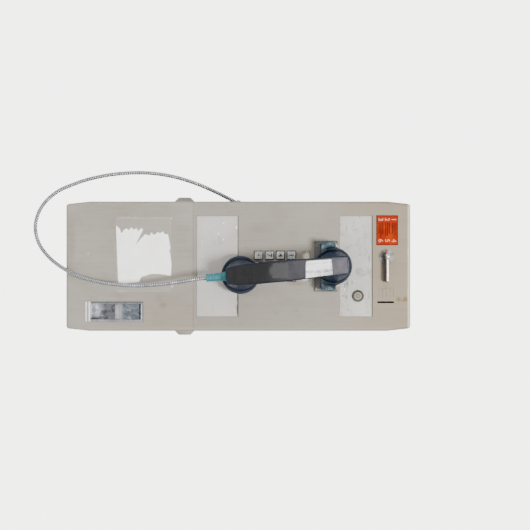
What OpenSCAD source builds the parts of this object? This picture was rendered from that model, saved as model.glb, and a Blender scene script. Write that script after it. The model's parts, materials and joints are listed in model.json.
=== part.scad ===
// Wall payphone with a centre cradle. A steel housing in two parts sits on a wall backplate.
// Millimetres. +Z is up and the front faces -Y. The origin is the centre of the four wall-bolt
// holes, on the backplate's rear face.

/* [Housing] */
// Height of the housing
body_h = 541.5; // [536:0.5:552]
// Width of the housing
body_w = 204; // [203:0.5:208]
// Depth from the wall to the front face
body_d = 150; // [149:0.5:154]
// Thickness of the steel sheet
wall_t = 3; // [2.6:0.1:3]
// Radius of the outer edges
edge_r = 5; // [5:0.5:7]
// How far each side leans in at the top and bottom ends
end_taper = 3.5; // [0:0.5:5]
// Height of the leaning stretch
taper_h = 32; // [25:1:32]
// Height of the joint between the upper and lower housing
seam_z = -71; // [-71.5:0.1:-70.5]
// Gap of that joint
seam_gap = 0.3; // [0.3:0.1:1]

/* [Windows] */
// Width of both windows
window_w = 159; // [150:1:162]
// Lower and upper edge of the upper window
upper_window = [159.2, 211.1];
// Lower and upper edge of the lower window
lower_window = [-65.9, 0.2];
// How far a panel sits behind the front face
window_recess = 2; // [1:0.5:2.5]
// Half width, lower edge and upper edge of the card window
card_window = [23.75, 101, 112];

/* [Keypad] */
// Distance between key centres
key_pitch = 17.2; // [17:0.1:17.4]
// Width of a key
key_w = 11.6; // [11:0.1:12]
// Height of a key
key_h = 12; // [11:0.1:12]
// Side of the square hole round each key
key_hole = 13.4; // [13:0.1:13.6]
// How far a key stands out of the front face
key_stand = 3; // [2.5:0.1:3.2]
// Height of the keypad's centre
keypad_z = 57.7; // [57:0.1:58.5]

/* [Cradle and handset] */
// Width, lower edge and upper edge of the cradle plate
cradle = [79.5, 119.7, 156.2];
// Height of the ear cap's centre when the handset is hung up
ear_z = 149; // [148.8:0.1:149.2]
// Radius of the ear cap
ear_r = 29.3; // [28:0.1:29.3]
// Radius of the mouth cap
mouth_r = 29.8; // [28:0.1:30]
// Distance between the centres of the two caps
cap_span = 146; // [144:0.5:148]
// Lean of the hung handset to the right, in degrees
handset_lean = 5.34; // [5:0.1:5.6]
// Width of the handle
handle_w = 33; // [30:0.5:34]
// Depth of the handset
handset_d = 62; // [60:0.5:64]

/* [Coin parts] */
// Centre of the coin slot
slot_at = [56.6, 231.75];
// Width and height of the coin slot
slot_size = [2.8, 26];
// Centre of the release lever's spindle
lever_at = [-15.2, 233.4];
// Length of the release lever
lever_len = 41; // [36:1:42]
// Left, right, lower and upper edge of the coin return
return_edges = [55.6, 87.1, -240.4, -149.2];

/* [Cord] */
// Outer diameter of the armoured cord
cord_d = 6.4; // [6:0.1:7]

/* [Hidden] */
$fn = 64;

// Smooth children of a hull need fewer sides
hull_fn = 32;
// Fine overshoot of a cutting shape
cut = 1;

// Planes of the housing
front = -body_d;
inner = front + wall_t;
side = body_w / 2;
inner_side = side - wall_t;

// Clearances
fit = 0.3;
run = 0.05;

// Wall bolts
bolt_x = 50.8;
bolt_z = 203.2;
bolt_hole_r = 3.5;
plate_t = 3;
cable_at = [0, 140];
cable_r = 19;

// Circuit board: left, lower, right and upper edge, and its rear and front faces
board = [-80, -60, 20, 100];
board_y = [-22, -20.4];

// Panels behind the windows
panel_face = front + window_recess;
flange_y = [inner, inner + 1.2];
flange_edge = 3.5;

// Release lever's bar: its centre plane, and the radii of bar, ball and bush
lever_y = front - 9;
lever_r = 4;
lever_ball_r = 6;
lever_bush_r = 11.3;

// Volume button
volume_at = [46.8, 188.2];
volume_r = 9.4;
volume_barrel_r = 8.2;
button_r = 6.3;

// Coin acceptor and its gate
acceptor_x = [47, 68];
acceptor_y = [-128, -60];
acceptor_z = [120, 248];
channel_x = [54.9, 58.3];
gate_y = [-125, -107];

// Coin relay and the vane that turns in it
relay = [[45, -120, -20], [85, -60, 100]];
vane_at = [65, 40];
duct_t = 2;

// Vault, cash box and door
vault = [[-84, -104, -240], [84, -12, -108]];
door_y = [-100, -14];
door_z = [-236, -112];

// Locks in both side walls
lock_at = [-75, -87.4];
lock_boss_r = 16.2;
lock_out = 8.5;
lock_barrel_r = 11;
lock_plug_r = 6;

// Hook pivot and the horns it carries
hook_at = [-122, 134];
hook_pin_r = 3;
seat_r = 30;
lip_r = 26.5;
horn_y = [-174, -159];
lip_y = [-178, -174];
arm_x = [28, 36];

// Coin return flap
flap_at = [-143.5, -157];
flap_pin_r = 1.5;

// Handset, measured from the centre of the ear cap's face
cap_face = front - 5;
cap_depth = 15;
handle_back = 38;
shell_end = 168;
cord_axis = 24;
sleeve_end = 199.5;

// Cord gland in the left wall and the direction that the cord leaves it in
gland_at = [-100, -60, 0];
gland_dir = [-0.5, 0, -0.866];
gland_r = 6;
gland_out = 6;

// ---- helpers ----

// A block between two opposite corners
module block(a, b) translate(a) cube(b - a);

// Round bars that start at p
module bar_x(p, length, r, $fn = 64) translate(p) rotate([0, 90, 0]) cylinder(h = length, r = r);
module bar_y(p, length, r, $fn = 64) translate(p) rotate([-90, 0, 0]) cylinder(h = length, r = r);
module bar_z(p, length, r, $fn = 64) translate(p) cylinder(h = length, r = r);

// A flat shape drawn as the front sees it, from y0 back to y1
module slab(y0, y1) translate([0, y1, 0]) rotate([90, 0, 0]) linear_extrude(y1 - y0) children();

// A rectangle given by its left, right, lower and upper edges
module edges(x0, x1, z0, z1) translate([x0, z0]) square([x1 - x0, z1 - z0]);

// The same shape on both sides of the middle
module both_sides() {
  children();
  mirror([1, 0, 0]) children();
}

function unit(v) = v / norm(v);

// A smooth curve through a list of points, with n steps between each pair
function curve(p, n) = let (last = len(p) - 1) concat(
  [for (i = [0:last - 1], k = [0:n - 1])
    let (t = k / n, a = p[max(i - 1, 0)], b = p[i], c = p[i + 1], d = p[min(i + 2, last)])
    0.5 * (2 * b + (c - a) * t + (2 * a - 5 * b + 4 * c - d) * t * t
      + (3 * b - a - 3 * c + d) * t * t * t)],
  [p[last]]);

// A round tube swept along points, with its rings kept square to the path
module sweep(p, r, sides) {
  last = len(p) - 1;
  tangent = [for (i = [0:last]) unit(p[min(i + 1, last)] - p[max(i - 1, 0)])];
  side_dir = [for (t = tangent) unit(cross(t, abs(t.y) < 0.9 ? [0, 1, 0] : [1, 0, 0]))];
  rings = [for (i = [0:last], k = [0:sides - 1])
    let (a = 360 * k / sides)
    p[i] + r * (side_dir[i] * cos(a) + cross(tangent[i], side_dir[i]) * sin(a))];
  walls = [for (i = [0:last - 1], k = [0:sides - 1])
    let (j = (k + 1) % sides)
    [i * sides + k, (i + 1) * sides + k, (i + 1) * sides + j, i * sides + j]];
  ends = [[for (k = [0:sides - 1]) k], [for (k = [sides - 1:-1:0]) last * sides + k]];
  polyhedron(rings, concat(walls, ends), convexity = 10);
}

// Points of a coil round the Z axis
function coil(r, pitch, turns, per_turn) =
  [for (i = [0:turns * per_turn]) let (a = 360 * i / per_turn)
    [r * cos(a), r * sin(a), pitch * i / per_turn]];

// Places what is drawn in the handset's own frame where the handset hangs
module hung() translate([0, cap_face, ear_z]) rotate([0, -handset_lean, 0]) children();

function hung_point(p) = [p.x * cos(handset_lean) - p.z * sin(handset_lean),
  p.y + cap_face, p.x * sin(handset_lean) + p.z * cos(handset_lean) + ear_z];

// ---- housing ----

// Corners of the housing's outline, moved in by inset
function outline(inset) = let (x = side - inset, z = body_h / 2 - inset)
  [[x, z - taper_h], [x - end_taper, z], [end_taper - x, z], [-x, z - taper_h],
   [-x, taper_h - z], [end_taper - x, -z], [x - end_taper, -z], [x, taper_h - z]];

// Outer form with rounded front edges and corners
module housing_form() hull() for (c = outline(edge_r)) {
  translate([c.x, front + edge_r, c.y]) sphere(edge_r, $fn = hull_fn);
  bar_y([c.x, -cut, c.y], cut, edge_r, $fn = hull_fn);
}

module housing_shell() difference() {
  housing_form();
  slab(inner, cut) polygon(outline(wall_t));
}

// Window openings through the front wall
module window_holes() slab(front - cut, inner + cut) {
  edges(-window_w / 2, window_w / 2, upper_window[0], upper_window[1]);
  edges(-window_w / 2, window_w / 2, lower_window[0], lower_window[1]);
  edges(-card_window[0], card_window[0], card_window[1], card_window[2]);
}

KEYS = [["key_1", -1, 1.5], ["key_2", 0, 1.5], ["key_3", 1, 1.5],
  ["key_4", -1, 0.5], ["key_5", 0, 0.5], ["key_6", 1, 0.5],
  ["key_7", -1, -0.5], ["key_8", 0, -0.5], ["key_9", 1, -0.5],
  ["key_star", -1, -1.5], ["key_0", 0, -1.5], ["key_hash", 1, -1.5]];

// One square of the given side at each key
module key_squares(w) for (k = KEYS)
  translate([k[1] * key_pitch, keypad_z + k[2] * key_pitch]) square(w, center = true);

// Bore of the gland through the left wall
module gland_bar(start, end, r) translate(gland_at + gland_dir * start)
  rotate([0, 180 + asin(-gland_dir.x / norm(gland_dir)), 0]) cylinder(h = end - start, r = r);

module upper_housing() color("#b0aba4") difference() {
  housing_shell();
  block([-side - cut, front - cut, -body_h], [side + cut, cut, seam_z + seam_gap / 2]);
  window_holes();
  slab(front - cut, inner + cut) {
    key_squares(key_hole);
    translate(slot_at) square(slot_size, center = true);
    for (s = [-1, 1]) edges(s * 32 - 6, s * 32 + 6, 126, 148);
  }
  bar_y([lever_at.x, front - cut, lever_at.y], wall_t + 2 * cut, 6.1);
  gland_bar(-16, 24, gland_r + 0.2);
}

// Lips that guide the upper housing over the lower one
module seam_lips() both_sides() for (y = [[-135, -100], [-50, -15]]) {
  block([inner_side - 2.3, y[0], seam_z - 9], [inner_side, y[1], seam_z - seam_gap / 2]);
  block([inner_side - 2.3, y[0], seam_z - seam_gap / 2], [inner_side - fit, y[1], seam_z + 14]);
}

module lower_housing() {
  color("#b2aca6") difference() {
    housing_shell();
    block([-side - cut, front - cut, seam_z - seam_gap / 2], [side + cut, cut, body_h]);
    slab(front - cut, inner + cut)
      edges(return_edges[0] + 1.2, return_edges[1] - 1.2, return_edges[2] + 1.8, return_edges[3] - 1.8);
    block([inner_side - cut, door_y[0] - 0.4, door_z[0] - 0.4], [side + cut, door_y[1] + 0.4, door_z[1] + 0.4]);
    bar_x([-side - cut, lock_at.x, lock_at.y], body_w + 2 * cut, lock_barrel_r + 0.1);
  }
  color("#b2aca6") seam_lips();
}

module backplate() color("#6d6f71") {
  difference() {
    slab(-plate_t, 0) polygon(outline(wall_t + 0.5));
    for (x = [-bolt_x, bolt_x], z = [-bolt_z, bolt_z])
      bar_y([x, -plate_t - cut, z], plate_t + 2 * cut, bolt_hole_r);
    bar_y([cable_at.x, -plate_t - cut, cable_at.y], plate_t + 2 * cut, cable_r);
  }
  both_sides() block([inner_side - 2.5, -14, -95], [inner_side - 0.5, -plate_t, 230]);
}

// ---- windows and labels ----

// A panel that shows in a window, held by a flange behind the front wall
module window_panel(half_w, low, high, face) {
  slab(face, flange_y[1]) edges(fit - half_w, half_w - fit, low + fit, high - fit);
  slab(flange_y[0], flange_y[1])
    edges(-half_w - flange_edge, half_w + flange_edge, low - flange_edge, high + flange_edge);
}

module upper_placard() color("#cac7c1") difference() {
  window_panel(window_w / 2, upper_window[0], upper_window[1], panel_face);
  bar_y([volume_at.x, front, volume_at.y], 10, volume_barrel_r + 0.2);
}

module lower_placard() color("#ccc8c5")
  window_panel(window_w / 2, lower_window[0], lower_window[1], panel_face);

module number_lens() color("#dfe4e4")
  window_panel(card_window[0], card_window[1], card_window[2], front + 1);

module number_card() color("#d8d2bc") slab(flange_y[1], flange_y[1] + 0.6)
  edges(-26, 26, card_window[1] - 2, card_window[2] + 2);

module instruction_label() color("#ac431e") slab(front - 0.3, front) edges(-80, -33, 217, 251);

// ---- circuit board ----

board_holes = [for (x = [board[0] + 6, board[2] - 6], z = [board[1] + 6, board[3] - 6]) [x, z]];

module circuit_board() {
  color("#2f5b3c") difference() {
    slab(board_y[0], board_y[1]) edges(board[0], board[2], board[1], board[3]);
    for (h = board_holes) bar_y([h.x, board_y[0] - cut, h.y], 4, 1.6);
  }
  // Transformer and terminal strip
  color("#3d3f44") block([-66, -48, -44], [-34, board_y[0], -14]);
  color("#c9c5b4") block([-66, -34, 74], [-6, board_y[0], 84]);
  // Chips in two rows
  color("#202226") for (x = [-62, -38, -14], z = [20, 46])
    block([x, -25, z], [x + 18, board_y[0], z + 9]);
  // Capacitors
  color("#5c6f8c") for (x = [-18, -2], z = [-44, -24]) bar_y([x, -40, z], 18, 6);
}

module board_fixings() color("#b9b9b4") for (h = board_holes) {
  bar_y([h.x, board_y[1], h.y], -plate_t - board_y[1], 3);
  bar_y([h.x, board_y[0], h.y], board_y[1] - board_y[0], 1.5);
  bar_y([h.x, board_y[0] - 2, h.y], 2, 3);
}

// ---- keypad ----

module key(k) color("#a9abad") translate([k[1] * key_pitch, 0, keypad_z + k[2] * key_pitch]) {
  block([-key_w / 2, front - key_stand, -key_h / 2], [key_w / 2, inner + 0.5, key_h / 2]);
  block([-7.2, inner + 0.5, -7.2], [7.2, inner + 4, 7.2]);
  bar_y([0, inner + 4, 0], 3.6, 2.5);
}

module keypad_frame() color("#3a3b3d") difference() {
  slab(inner, inner + 10) edges(-26.5, 26.5, keypad_z - 35.2, keypad_z + 35.3);
  slab(inner - cut, inner + 10 + cut) key_squares(15);
}

module keypad_board() color("#2f5b3c")
  slab(inner + 10, inner + 11.6) edges(-26.5, 26.5, keypad_z - 35.2, keypad_z + 35.3);

// ---- volume button ----

module volume_switch() color("#2b2c2e") translate([volume_at.x, 0, volume_at.y]) difference() {
  union() {
    bar_y([0, panel_face - 1.6, 0], 1.6, volume_r);
    bar_y([0, panel_face, 0], 14, volume_barrel_r);
  }
  bar_y([0, front - 5, 0], 18.5, button_r + fit);
}

module volume_button() color("#8d8a78") translate([volume_at.x, 0, volume_at.y]) {
  bar_y([0, front + 0.1, 0], 11, button_r);
  bar_y([0, front - 0.6, 0], 1, 2.5);
}

// ---- coin-release lever and acceptor ----

module lever_bush() color("#b8b6b0") translate([lever_at.x, 0, lever_at.y]) difference() {
  union() {
    bar_y([0, front - 1.5, 0], 1.5, lever_bush_r);
    bar_y([0, front, 0], 10, 6);
    translate([0, inner + 3, 0]) rotate([90, 0, 0]) cylinder(h = 3, r = 9, $fn = 6);
  }
  bar_y([0, front - 3, 0], 20, lever_r + run);
}

module lever_spring() color("#8f9296") translate([lever_at.x, inner + 4, lever_at.y])
  rotate([-90, 0, 0]) sweep(coil(7.6, 2.6, 3, 20), 0.8, 8);

// Half outline of the lever along its length: ball, bar and rounded tip
function lever_outline() = let (meet = asin(lever_r / lever_ball_r)) concat(
  [for (i = [0:10]) let (a = (180 - meet) * i / 10) lever_ball_r * [sin(a), -cos(a)]],
  [for (a = [0:15:90]) [lever_r * cos(a), lever_len - lever_r + lever_r * sin(a)]]);

module release_lever() color("#d9d7d2") translate([lever_at.x, lever_y, lever_at.y]) {
  rotate([0, 90, 0]) rotate_extrude() polygon(lever_outline());
  bar_y([0, 0, 0], 31, lever_r);
  bar_y([0, 2, 0], 5, 5.2);
}

module lever_arm() color("#8a8d90") translate([lever_at.x, 0, lever_at.y]) difference() {
  union() {
    bar_y([0, -132, 0], 4, 9);
    block([0, -132, -4], [53, -128, 4]);
  }
  bar_y([0, -133, 0], 6, lever_r);
}

// Path of a coin from the slot down to the outlet, seen from the side
channel_path = [[front - cut, 218], [front - cut, 246], [-110, 246], [-76, 210], [-76, 100],
  [-104, 100], [-104, 190], [-132, 218]];

module acceptor_channel() translate([channel_x[0], 0, 0]) rotate([90, 0, 90])
  linear_extrude(channel_x[1] - channel_x[0]) polygon(channel_path);

module coin_acceptor() color("#c3a35c") {
  difference() {
    union() {
      block([acceptor_x[0], acceptor_y[0], acceptor_z[0]], [acceptor_x[1], acceptor_y[1], acceptor_z[1]]);
      block([51, inner, 215], [62.5, acceptor_y[0], 248]);
      block([50, -106, 101], [63, -74, acceptor_z[0]]);
    }
    acceptor_channel();
  }
  // Rails that the gate slides between
  for (y = [gate_y[0] - fit - 2.7, gate_y[1] + fit]) block([43.8, y, 165], [acceptor_x[0], y + 2.7, 235]);
}

module acceptor_gate() color("#9aa0a3") {
  block([43.5, gate_y[0], 196], [acceptor_x[0] - fit, gate_y[1], 226]);
  block([22, -133, 222], [43.5, gate_y[1], 226]);
}

// ---- coin relay and chutes ----

module coin_relay() color("#9c9fa1") {
  difference() {
    union() {
      block(relay[0], relay[1]);
      block([46, -100, -107.8], [64, -64, -20]);
    }
    // Hollow inside, inlet above, and the two outlets below
    block(relay[0] + [duct_t, duct_t, duct_t], relay[1] - [duct_t, duct_t, duct_t]);
    block([50, -106, 90], [63, -74, 101]);
    block([48, -98, -109], [62, -66, -17]);
    block([66.5, -118, -21], [83, -109, -17]);
    bar_y([vane_at.x, -121, vane_at.y], 62, 2 + run);
  }
  // Coil of the relay
  color("#7a4a32") bar_y([vane_at.x, -60, 78], 18, 11);
}

module relay_vane() color("#c8c8c4") {
  bar_y([vane_at.x, -123, vane_at.y], 66, 2);
  block([vane_at.x - 1, -117, vane_at.y - 28], [vane_at.x + 1, -63, vane_at.y + 22]);
}

module return_chute() color("#a4a7a9") difference() {
  block([64, -137, -146.8], [88, -107, -20.2]);
  block([66, -135, -148], [86, -109, -19]);
}

// ---- coin return ----

module coin_return_frame() color("#8e979c") difference() {
  union() {
    slab(front - 1.2, front) edges(return_edges[0], return_edges[1], return_edges[2], return_edges[3]);
    slab(front, inner)
      edges(return_edges[0] + 1.4, return_edges[1] - 1.4, return_edges[2] + 2, return_edges[3] - 2);
  }
  slab(front - 2, inner + cut)
    edges(return_edges[0] + 3.4, return_edges[1] - 3.4, return_edges[2] + 7, return_edges[3] - 4);
}

// The cup that coins drop into, with a rounded finger scoop at its bottom
module coin_return_tray() color("#999ba2") difference() {
  block([55.5, inner, -242], [87.5, -112, -147]);
  translate([58, 0, 0]) rotate([90, 0, 90]) linear_extrude(27) {
    translate([inner - cut, -233.5]) square([17, 84]);
    translate([inner - cut, -218]) square([-114.5 - inner + cut, 68.5]);
    translate([-130, -218]) circle(15.5);
  }
  block([66, -134.5, -150], [84, -116, -146]);
  bar_x([54, flap_at.x, flap_at.y], 35, flap_pin_r + run);
}

module flap_pin() color("#b9b9b4") bar_x([55.5, flap_at.x, flap_at.y], 32, flap_pin_r);

module coin_return_flap() color("#757e86") difference() {
  union() {
    bar_x([59.5, flap_at.x, flap_at.y], 23.7, 3);
    block([59.5, -146.5, -192], [83.2, -145, flap_at.y]);
    block([60, -148.5, -193.5], [82.7, -145, -188.5]);
  }
  bar_x([58, flap_at.x, flap_at.y], 27, flap_pin_r + run);
}

// ---- vault ----

module vault_liner() color("#85888a") difference() {
  block(vault[0], vault[1]);
  block(vault[0] + [2, 2, 2], vault[1] + [cut, -2, -2]);
  block([48, -98, -112], [62, -66, -107]);
}

module cash_box() color("#6f7375") difference() {
  block([-76, -100, -236], [95, -16, -123]);
  block([-74.5, -98.5, -234.5], [93.5, -17.5, -122]);
}

module vault_door() color("#b2aca6") {
  block([inner_side, door_y[0], door_z[0]], [side, door_y[1], door_z[1]]);
  // Tongue that the lock's cam holds
  block([86, -82, -122], [inner_side, -68, -119]);
  block([86, -82, -119], [91.5, -68, -112.6]);
}

// ---- locks ----

// Lock boss and its barrel in the right wall
module lock_body() color("#77736b") translate([0, lock_at.x, lock_at.y]) difference() {
  union() {
    bar_x([side, 0, 0], 2, lock_boss_r);
    translate([side + 2, 0, 0]) rotate([0, 90, 0]) cylinder(h = lock_out - 2, r1 = lock_boss_r, r2 = 10);
    bar_x([inner_side - 2.5, 0, 0], wall_t + 2.5, lock_barrel_r);
  }
  bar_x([inner_side - 4, 0, 0], 20, lock_plug_r + run);
}

// Turning plug with a key slot and a cam of the given reach
module lock_plug(reach) color("#b59a52") translate([0, lock_at.x, lock_at.y]) {
  difference() {
    bar_x([inner_side - 6, 0, 0], side + lock_out - 0.2 - inner_side + 6, lock_plug_r);
    block([side + lock_out - 4, -0.6, -3.5], [side + lock_out, 0.6, 3.5]);
  }
  block([inner_side - 6, -reach, -5], [inner_side - 3, 0, 5]);
}

module housing_lock() mirror([1, 0, 0]) lock_body();
module vault_lock() lock_body();
module housing_lock_plug() mirror([1, 0, 0]) lock_plug(18);
module vault_lock_plug() lock_plug(30);

// ---- cradle and hook ----

module cradle_plate() color("#c4ccd2") slab(front - 3, front) difference() {
  edges(-cradle[0] / 2, cradle[0] / 2, cradle[1], cradle[2]);
  for (s = [-1, 1]) {
    edges(s * 32 - 5, s * 32 + 5, 129.6, 146);
    edges(s * 14.5 - 3.5, s * 14.5 + 3.5, 128.5, 132);
  }
}

// One horn with the arm that carries it
module horn() {
  slab(horn_y[0], horn_y[1]) difference() {
    polygon([[14, 130], [37, 130], [37, 151.5], [34.5, 154], [30.5, 156], [26, 156]]);
    // The seat is open above its centre, so that the cap lifts straight out
    translate([0, ear_z]) circle(seat_r);
    edges(0, seat_r, ear_z, 160);
  }
  slab(lip_y[0], lip_y[1]) difference() {
    edges(14, 37, 130, 138);
    translate([0, ear_z]) circle(lip_r);
  }
  block([arm_x[0], horn_y[1], 130], [arm_x[1], hook_at.x, 138]);
}

module hook_fork() color("#ccd3d8") difference() {
  union() {
    both_sides() horn();
    bar_x([-36, hook_at.x, hook_at.y], 72, 6);
    // Tail that the spring pushes and the switch feels
    block([-22, hook_at.x, 131], [26, -109, 137]);
  }
  bar_x([-37, hook_at.x, hook_at.y], 74, hook_pin_r + run);
}

module hook_pin() color("#b9b9b4") bar_x([-43, hook_at.x, hook_at.y], 86, hook_pin_r);

module hook_bracket() color("#7e8183") difference() {
  union() {
    both_sides() block([38.8, inner, 117], [41.8, -105, 152]);
    block([-41.8, -107, 117], [41.8, -105, 152]);
    block([-20, -119, 147], [-6, -107, 150]);
  }
  bar_x([-44, hook_at.x, hook_at.y], 88, hook_pin_r + run);
}

module hook_switch() color("#26282b") {
  block([5, -119, 117], [25, -107, 126]);
  bar_z([15, -112, 126], 2.4, 1.5);
}

module hook_spring() color("#8f9296") translate([-13, -113, 138])
  sweep(coil(3.6, 1.55, 5, 12), 0.6, 6);

// ---- handset, with the ear cap's face at the origin and the handle below it ----

// One slice of the handle: its height, width, and how far its back and front stand out
module handle_slice(z, w, back, out, r = 6) for (x = [-1, 1] * (w / 2 - r), y = [-back - r, -out + r])
  bar_z([x, y, z], 1, r, $fn = hull_fn);

module head(z, r) bar_y([0, -cap_depth - 4, z], 4, r, $fn = hull_fn);

module handset_shell() color("#45444a") hung() difference() {
  union() {
    // Ear end, the two stretches of the handle, and the mouth end
    hull() {
      head(0, 25);
      handle_slice(20, 29, 26, handset_d - 11, 5);
      handle_slice(8, 30, 37, handset_d - 2.5);
      handle_slice(-20, 30, handle_back, handset_d - 0.5);
    }
    hull() {
      handle_slice(-20, 30, handle_back, handset_d - 0.5);
      handle_slice(-73, handle_w, handle_back, handset_d);
    }
    hull() {
      handle_slice(-73, handle_w, handle_back, handset_d);
      handle_slice(-126, handle_w, handle_back, handset_d - 1);
    }
    hull() {
      head(-cap_span, 24);
      handle_slice(-126, handle_w, handle_back, handset_d - 1);
      handle_slice(-152, 31, 32, handset_d - 5);
      handle_slice(-167, 26, 20, handset_d - 16);
    }
    // Necks that the caps screw onto
    bar_y([0, -cap_depth - 1, 0], cap_depth - 3, 25.8);
    bar_y([0, -cap_depth - 1, -cap_span], cap_depth - 3, 25.8);
  }
  bar_y([0, -20, 0], 18, 23);
  bar_y([0, -17, -cap_span], 15, 20);
  block([-20, -80, -shell_end - 30], [20, -cap_depth - 1, -shell_end]);
  bar_z([0, -cord_axis, -shell_end - cut], 10, 5.1);
}

// A cap that screws over a neck, with a ring of sound holes
module cap(r, holes) difference() {
  union() {
    bar_y([0, -cap_depth + 2, 0], cap_depth - 2 - 3, r);
    translate([0, 0, 0]) rotate([90, 0, 0]) cylinder(h = 3, r1 = r - 3, r2 = r);
    translate([0, 2 - cap_depth, 0]) rotate([90, 0, 0]) cylinder(h = 1, r1 = r, r2 = r - 1);
  }
  bar_y([0, -cap_depth - cut, 0], cap_depth + cut - 2.8, 25.8 + fit);
  for (a = [0:360 / holes:359]) rotate([0, a, 0]) bar_y([12, -4, 0], 6, 1.2);
  bar_y([0, -4, 0], 6, 1.2);
}

module ear_cap() color("#363c49") hung() cap(ear_r, 6);
module mouth_cap() color("#363c49") hung() translate([0, 0, -cap_span]) cap(mouth_r, 8);

module receiver_unit() color("#8a8476") hung() bar_y([0, -16, 0], 11, 22.5);
module transmitter_unit() color("#8a8476") hung() bar_y([0, -16, -cap_span], 11, 19.5);

module strain_relief() color("#4f93a3") hung() {
  bar_z([0, -cord_axis, -shell_end], 8, 5);
  bar_z([0, -cord_axis, -shell_end - 4], 4, 7.3);
  translate([0, -cord_axis, -sleeve_end]) cylinder(h = sleeve_end - shell_end - 4, r1 = 5.8, r2 = 6.7);
}

// ---- cord ----

cord_start = gland_at + gland_dir * (gland_out + 0.1);
cord_end = hung_point([0, -cord_axis, -sleeve_end]);

// Route of the cord: out of the gland, down the left side, below the housing and up the front
cord_route = concat(
  [cord_start, cord_start + gland_dir * 4, cord_start + gland_dir * 9],
  [[-120, -64, -38], [-133.5, -72, -70], [-144.5, -82, -108], [-149.5, -90, -148], [-148, -98, -190],
   [-141.5, -105, -228], [-131.5, -111, -260], [-117, -118, -290], [-94, -125, -312], [-65, -132, -321],
   [-35, -140, -314], [-8, -149, -291], [13, -157, -256], [25, -163, -215], [30, -168, -170],
   [29, -172, -132], [25, -176, -96]],
  [cord_end + [sin(handset_lean), 0, -cos(handset_lean)] * 18,
   cord_end + [sin(handset_lean), 0, -cos(handset_lean)] * 7, cord_end]);

module cord_gland() color("#9ea0a0") intersection() {
  union() {
    gland_bar(-24, gland_out, gland_r);
    gland_bar(-24, -20, gland_r + 3);
  }
  block([-120, -80, -30], [-60, -40, 30]);
}

module armoured_cord() color("#a7a9a8") sweep(curve(cord_route, 3), cord_d / 2, 8);

backplate();
board_fixings();
circuit_board();
upper_housing();
lower_housing();
upper_placard();
lower_placard();
instruction_label();
number_card();
number_lens();
coin_acceptor();
coin_relay();
return_chute();
coin_return_frame();
coin_return_tray();
flap_pin();
vault_liner();
lever_bush();
lever_spring();
cradle_plate();
hook_bracket();
hook_pin();
hook_switch();
hook_spring();
keypad_frame();
keypad_board();
volume_switch();
cord_gland();
armoured_cord();
housing_lock();
vault_lock();
release_lever();
lever_arm();
acceptor_gate();
hook_fork();
for (k = KEYS) key(k);
volume_button();
coin_return_flap();
relay_vane();
vault_door();
cash_box();
housing_lock_plug();
vault_lock_plug();
handset_shell();
ear_cap();
mouth_cap();
receiver_unit();
transmitter_unit();
strain_relief();
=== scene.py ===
"""Looks of a weathered wall payphone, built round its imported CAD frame.

Metres, in the row frame: +Z is up, the front faces -Y, and the origin is the centre of the wall-bolt pattern.
"""
import json
import math
import random

import bmesh
import bpy
from mathutils import Matrix, Vector
from mathutils.bvhtree import BVHTree


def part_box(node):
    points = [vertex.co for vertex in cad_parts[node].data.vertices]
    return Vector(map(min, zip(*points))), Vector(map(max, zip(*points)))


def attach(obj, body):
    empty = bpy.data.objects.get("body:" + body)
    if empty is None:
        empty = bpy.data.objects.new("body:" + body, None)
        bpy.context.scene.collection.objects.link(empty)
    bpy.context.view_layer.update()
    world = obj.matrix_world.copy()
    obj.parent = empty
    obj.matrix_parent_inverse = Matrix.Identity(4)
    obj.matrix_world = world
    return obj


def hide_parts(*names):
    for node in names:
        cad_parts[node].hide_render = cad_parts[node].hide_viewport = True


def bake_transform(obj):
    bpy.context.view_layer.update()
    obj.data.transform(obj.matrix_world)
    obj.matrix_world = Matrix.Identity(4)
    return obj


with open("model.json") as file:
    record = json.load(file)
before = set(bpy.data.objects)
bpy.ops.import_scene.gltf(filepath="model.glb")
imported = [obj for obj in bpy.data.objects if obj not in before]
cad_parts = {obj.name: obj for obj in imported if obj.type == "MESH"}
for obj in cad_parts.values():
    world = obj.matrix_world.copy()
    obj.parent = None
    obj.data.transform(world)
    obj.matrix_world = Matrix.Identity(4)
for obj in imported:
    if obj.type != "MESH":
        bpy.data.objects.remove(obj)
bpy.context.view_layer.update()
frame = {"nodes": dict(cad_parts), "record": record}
NODES = frame["nodes"]
MM = 0.001

# Front plane of the housing, and a hair's distance that keeps thin pieces apart
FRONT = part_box("upper_housing")[0].y
HAIR = 0.05 * MM
# Height of the studio floor, in metres; the phone hangs on its wall bolts above it
FLOOR_Z = -0.75


# ---- camera ----

def add_camera():
    """Looks along +Y from 3 m, rolled so that the top of the phone points to the right of the picture."""
    distance, width = 3.0, 0.833
    camera = bpy.data.cameras.new("camera")
    camera.sensor_width = 36
    camera.lens = camera.sensor_width * distance / width
    camera.clip_end = 50
    ob = bpy.data.objects.new("camera", camera)
    right, up, back = Vector((0, 0, 1)), Vector((-1, 0, 0)), Vector((0, -1, 0))
    ob.matrix_world = Matrix((
        (right.x, up.x, back.x, -0.0019),
        (right.y, up.y, back.y, FRONT - distance),
        (right.z, up.z, back.z, 0.042),
        (0, 0, 0, 1)))
    bpy.context.scene.collection.objects.link(ob)
    bpy.context.scene.camera = ob


add_camera()


# ---- materials ----

HOUSING_LOW, HOUSING_HIGH = (0.208, 0.188, 0.161), (0.255, 0.235, 0.206)
KEY_PITCH, KEYPAD_Z = 17.2, 57.7


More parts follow.
